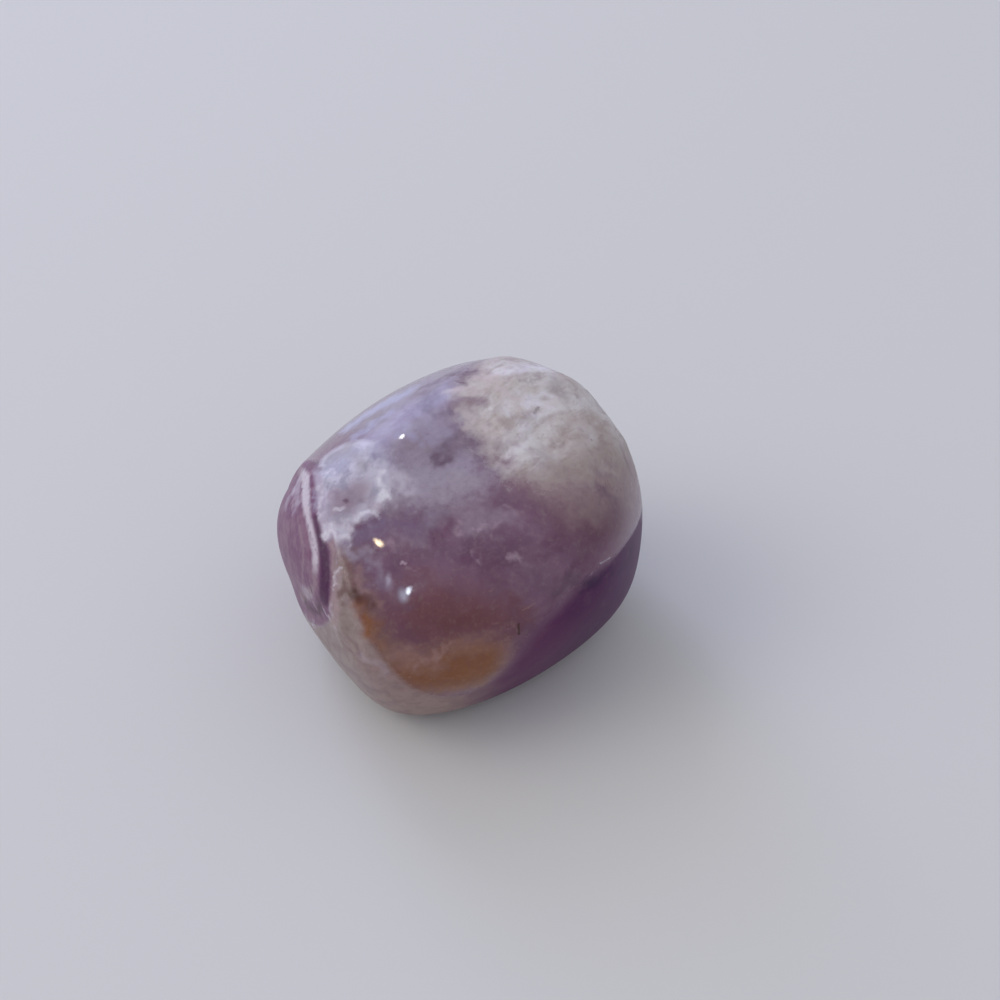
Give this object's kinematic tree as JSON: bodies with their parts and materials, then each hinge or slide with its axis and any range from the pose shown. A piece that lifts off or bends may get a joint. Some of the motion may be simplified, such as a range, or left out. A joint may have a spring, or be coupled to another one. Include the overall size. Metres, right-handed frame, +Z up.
{
  "type": "tumbled amethyst stone",
  "caption": "Rounded, polished amethyst pebble with blunt facets, a sunken banded end, a cloudy lumpy shoulder and a flat underside that it rests on.",
  "frame": {"origin": "middle of the stone's box in X and Y, on the surface that it rests on", "axes": "+Z up through the stone's shortest dimension, -Y towards the front, +X to the right, with the banded end at -X"},
  "size_m": [0.0258, 0.0244, 0.0204],
  "materials": {
    "amethyst": "tumble-polished, violet and translucent with milky white, maroon and honey zones"
  },
  "bodies": {
    "root": {"amethyst": "amethyst"}
  },
  "joints": []
}
